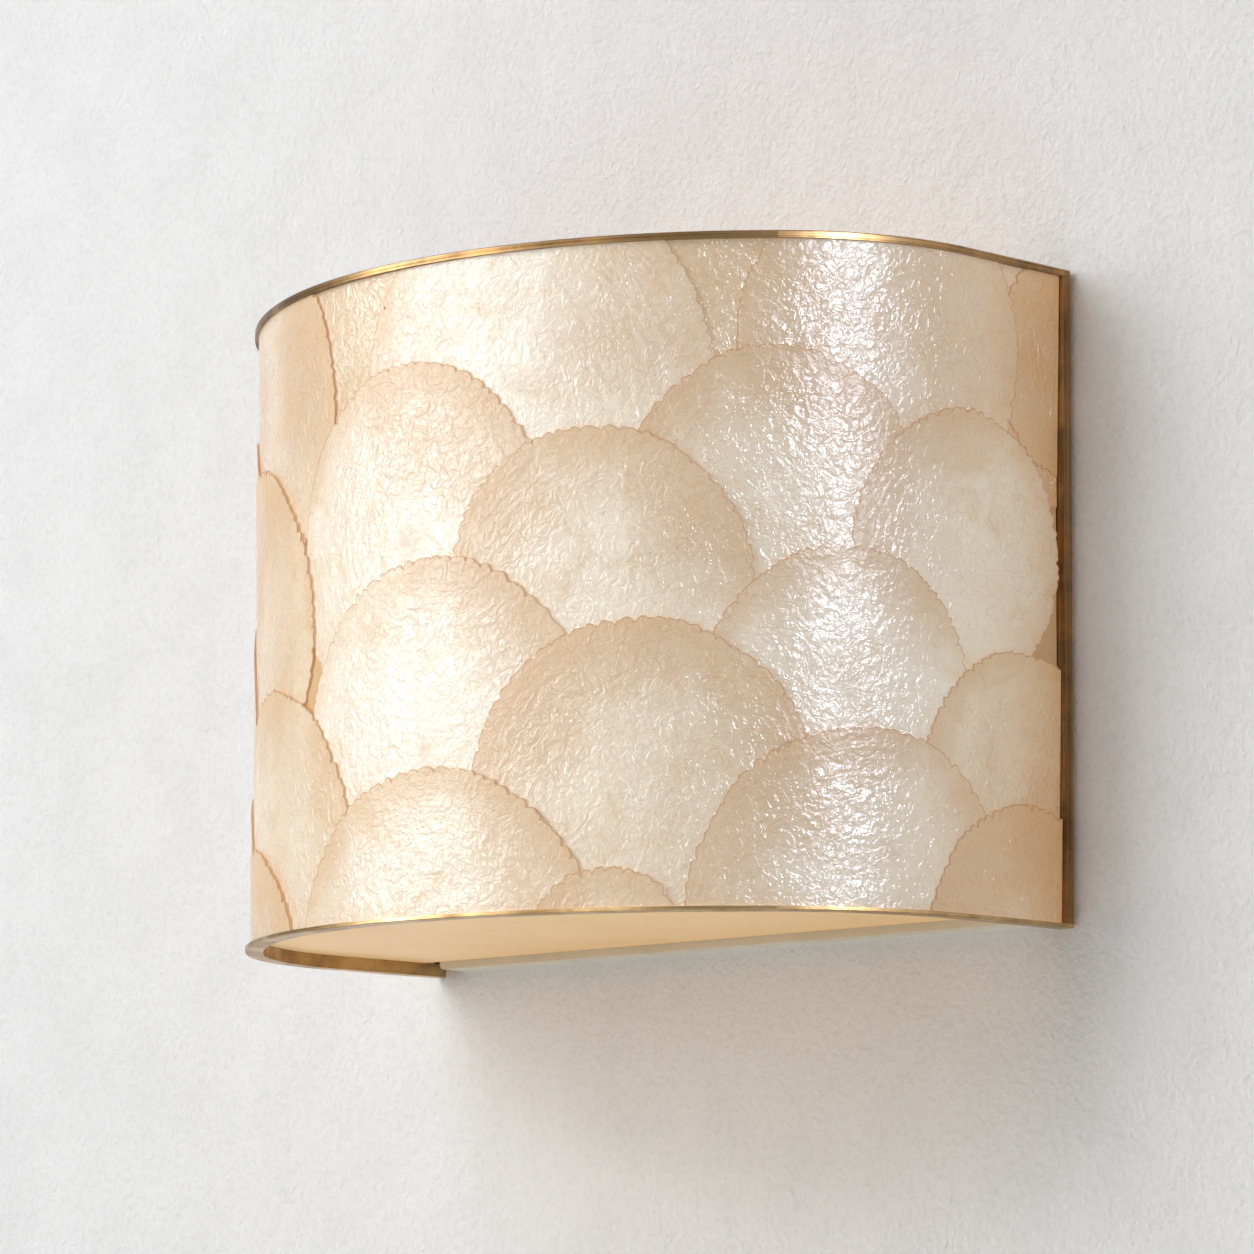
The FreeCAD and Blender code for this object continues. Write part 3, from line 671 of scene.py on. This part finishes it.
def shell(it, others, material):
    """One shell, bent on to the panel in its row's course."""
    corners, faces, borders = it.flat_sheet()
    run, height = corners[:, 0], corners[:, 1]
    local = corners - it.centre
    rim, around = it.rim_distance(corners)
    rim = np.maximum(rim, 0)
    crease = wrinkles(local, it.seed) * CREASE * soft_step(rim, 0, CREASE_FADE)
    curl = CURL * soft_step(rim, CURL_WIDTH, 0) * np.cos(around * CURL_TURNS + it.seed)
    course = liner_outside - shell_slope * np.maximum(height - it.tail, 0)
    inset = course - FACE_ABOVE - CHAIN_TILT * local[:, 0] / it.radius - crease - curl
    outer = outline(run, inset, height)
    inner = outline(run, inset + SHEET, height)
    count = len(outer)
    all_faces = list(faces)
    all_faces += [[i + count for i in reversed(face)] for face in faces]
    all_faces += [[b, a, a + count, b + count] for a, b in borders]
    thing = new_object(it.name, np.concatenate([outer, inner]), all_faces, material)
    thing.data.set_sharp_from_angle(angle=SHARP_ANGLE)

    under = [other.cover(corners) for other in others if other.lies_under(it)]
    layers = np.sum([np.zeros(count)] + under, axis=0)
    flat = np.column_stack([local, np.full(count, it.seed / 10)])
    outward = np.hypot(local[:, 0], local[:, 1])
    swirl = np.column_stack([polar(STROKE_CIRCLE, around), outward + it.seed])
    to_wall = panel_run - np.abs(run)
    store(thing, "flat", np.concatenate([flat, flat]))
    store(thing, "swirl", np.concatenate([swirl, swirl]))
    store(thing, "rim", np.concatenate([rim, rim + SHEET]))
    store(thing, "layers", np.concatenate([layers, layers]))
    store(thing, "tone", np.full(2 * count, it.tone))
    store(thing, "to_wall", np.concatenate([to_wall, to_wall]))
    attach(thing, "shade")
    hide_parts(f"shell_row_{it.number + 1}")


shell_look = capiz()
shells = [Shell(number, index) for number, row in enumerate(SHELL_ROWS) for index in range(len(row))]
for each in shells:
    shell(each, shells, shell_look)


# ---------------------------------------------------------------- the solids' looks


def paint(material, *nodes):
    for node in nodes:
        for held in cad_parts[node].material_slots:
            held.material = material


ring_brass = brass("ring_brass_look", BRUSHED_LEVEL, ((156, 118, 72), (86, 60, 32)))
paint(ring_brass, "top_ring", "hanging_lugs")
stile_brass = brass("stile_brass_look", BRUSHED_UPRIGHT, ((150, 110, 62), (82, 56, 28)))
paint(stile_brass, "left_stile", "right_stile")
# A paler copy of the ring brass for the bottom ring: painted light, for the bright diffuser and wall it
# reflects
bottom_ring_lit_brass = brass("bottom_ring_lit_brass_look", BRUSHED_LEVEL, ((206, 174, 126), (150, 116, 74)))
paint(bottom_ring_lit_brass, "bottom_ring")

liner = frosted("liner_look", ((222, 184, 134), (206, 162, 108)), roughness=0.5, glow=0.10)
paint(liner, "shade_liner")
diffuser = frosted("diffuser_look", ((228, 192, 144), (216, 176, 124)), roughness=0.42, glow=0.21)
paint(diffuser, "bottom_diffuser")
paint(enamel(), "back_plate", "lamp_arms")

zinc = plain_metal("zinc_steel_look", ((214, 215, 216), (196, 198, 202)), grain_scale=700.0)
paint(zinc, "wall_bracket", "plate_studs", "plate_nuts", "lug_studs")
paint(zinc, "arm_screws", "nipples", "nipple_nuts")
screw_brass = plain_metal("screw_brass_look", ((206, 176, 112), (176, 142, 84)), grain_scale=900.0)
paint(screw_brass, "earth_screw", "holder_contacts", "lug_nut_left", "lug_nut_right")
paint(rubber(), "lead_grommet")
paint(porcelain(), "lampholders")
cap_metal = plain_metal("lamp_cap_look", ((206, 200, 190), (170, 164, 154)), grain_scale=500.0)
paint(cap_metal, "lamp_cap_left", "lamp_cap_right")
paint(opal_glass(), "lamp_glass_left", "lamp_glass_right")


# ---------------------------------------------------------------- stage, light and camera


def wall_material():
    """White plaster that shows from the front only and casts no shadow, so that the back can be
    looked at."""
    s = Shader("wall_plaster")
    place = s.place()
    coarse = s.noise(place, scale=26.0, detail=5.0, roughness=0.6)
    fine = s.noise(s.warped(place, scale=90.0, amount=0.003), scale=400.0, roughness=0.6)
    colour = s.between(s.spread(coarse, 0.3, 0.7), ((251, 251, 251), (246, 246, 246)))
    # Painted shade in the hollows of the plaster, where the fine relief is low
    colour = s.stain(colour, s.spread(fine, 0.36, 0.56, to_low=0.16, to_high=0.0), (220, 219, 217))
    normal = s.bump(s.add(coarse, s.times(fine, 0.45)), distance=0.0030, strength=0.7)
    plaster = s.principled(Base_Color=colour, Roughness=0.85, Normal=normal)
    clear = s.node("ShaderNodeBsdfTransparent")
    behind = s.node("ShaderNodeNewGeometry", out="Backfacing")
    shadow = s.node("ShaderNodeLightPath", out="Is Shadow Ray")
    unseen = s.math("MAXIMUM", behind, shadow)
    return s.surface(s.node("ShaderNodeMixShader", {0: unseen, 1: plaster, 2: clear}))


def floor_material():
    s = Shader("floor_plain")
    cloud = s.noise(s.place(), scale=3.0, detail=4.0)
    return s.finish(Base_Color=s.between(cloud, ((238, 237, 235), (230, 229, 226))), Roughness=0.8)


WALL_AT = 0.0006
FLOOR_AT = -1.6
SPREAD = 6.0

wall_corners = [
    (-SPREAD, WALL_AT, FLOOR_AT),
    (SPREAD, WALL_AT, FLOOR_AT),
    (SPREAD, WALL_AT, SPREAD),
    (-SPREAD, WALL_AT, SPREAD),
]
floor_corners = [
    (-SPREAD, -SPREAD, FLOOR_AT),
    (SPREAD, -SPREAD, FLOOR_AT),
    (SPREAD, SPREAD, FLOOR_AT),
    (-SPREAD, SPREAD, FLOOR_AT),
]
wall = new_object("stage_wall", wall_corners, [(0, 1, 2, 3)], wall_material())
floor = new_object("stage_floor", floor_corners, [(0, 1, 2, 3)], floor_material())


def area_light(name, azimuth, elevation, distance, size, power, colour, highlight_only=False):
    """A soft panel aimed at the object's middle: azimuth 0 stands in front, 90 on the right."""
    data = bpy.data.lights.new(name, "AREA")
    data.shape = "RECTANGLE"
    data.size, data.size_y = size
    data.energy = power
    data.color = colour
    lamp = bpy.data.objects.new(name, data)
    bpy.context.scene.collection.objects.link(lamp)
    azimuth, elevation = math.radians(azimuth), math.radians(elevation)
    level = math.cos(elevation)
    toward = Vector((math.sin(azimuth) * level, -math.cos(azimuth) * level, math.sin(elevation)))
    lamp.location = Vector((0, -DEPTH / 2, 0)) + toward * distance
    lamp.rotation_euler = toward.to_track_quat("Z", "Y").to_euler()
    lamp.visible_camera = False
    lamp.visible_diffuse = not highlight_only


DAYLIGHT = (0.985, 0.992, 1.0)
# Name, azimuth, elevation, distance, size, power and colour
area_light("key_left", -32, 12, 3.6, (2.2, 2.1), 52, DAYLIGHT)
area_light("key_above", -24, 38, 3.6, (2.5, 2.2), 48, DAYLIGHT)
area_light("strip_right", 74, 24, 1.7, (0.40, 1.1), 46, (0.82, 0.87, 1.0), highlight_only=True)
area_light("window_left", -42, 12, 1.9, (0.4, 0.6), 7, (0.96, 0.98, 1.0), highlight_only=True)
area_light("window_front", 8, 2, 2.2, (0.5, 0.9), 4, (1.0, 0.99, 0.97), highlight_only=True)
area_light("fill_behind", 200, 20, 2.4, (1.6, 1.6), 30, (1.0, 1.0, 1.0))

SKY_COLOUR = (1.0, 0.995, 0.985, 1.0)
SKY_STRENGTH = 0.18

world = bpy.data.worlds.new("soft_sky")
world.use_nodes = True
background = world.node_tree.nodes["Background"]
background.inputs["Color"].default_value = SKY_COLOUR
background.inputs["Strength"].default_value = SKY_STRENGTH
bpy.context.scene.world = world
bpy.context.scene.view_settings.view_transform = "Standard"

FOCAL_PIXELS = 5300
FRAME_PIXELS = 1254
SENSOR = 36.0
NEAREST = 0.05
CAMERA_AT = Vector((1.2465, -1.2573, -0.2534))
CAMERA_YAW = math.radians(45.967)
CAMERA_PITCH = math.radians(8.311)
CAMERA_ROLL = math.radians(0.344)

data = bpy.data.cameras.new("photo_camera")
data.sensor_width = SENSOR
data.lens = FOCAL_PIXELS * SENSOR / FRAME_PIXELS
data.clip_start = NEAREST
camera = bpy.data.objects.new("photo_camera", data)
bpy.context.scene.collection.objects.link(camera)
ahead_x = -math.sin(CAMERA_YAW) * math.cos(CAMERA_PITCH)
ahead_y = math.cos(CAMERA_YAW) * math.cos(CAMERA_PITCH)
ahead = Vector((ahead_x, ahead_y, math.sin(CAMERA_PITCH)))
level = Vector((math.cos(CAMERA_YAW), math.sin(CAMERA_YAW), 0))
upward = level.cross(ahead)
right = level * math.cos(CAMERA_ROLL) + upward * math.sin(CAMERA_ROLL)
above = upward * math.cos(CAMERA_ROLL) - level * math.sin(CAMERA_ROLL)
turn = Matrix((right, above, -ahead)).transposed().to_4x4()
camera.matrix_world = Matrix.Translation(CAMERA_AT) @ turn
bpy.context.scene.camera = camera
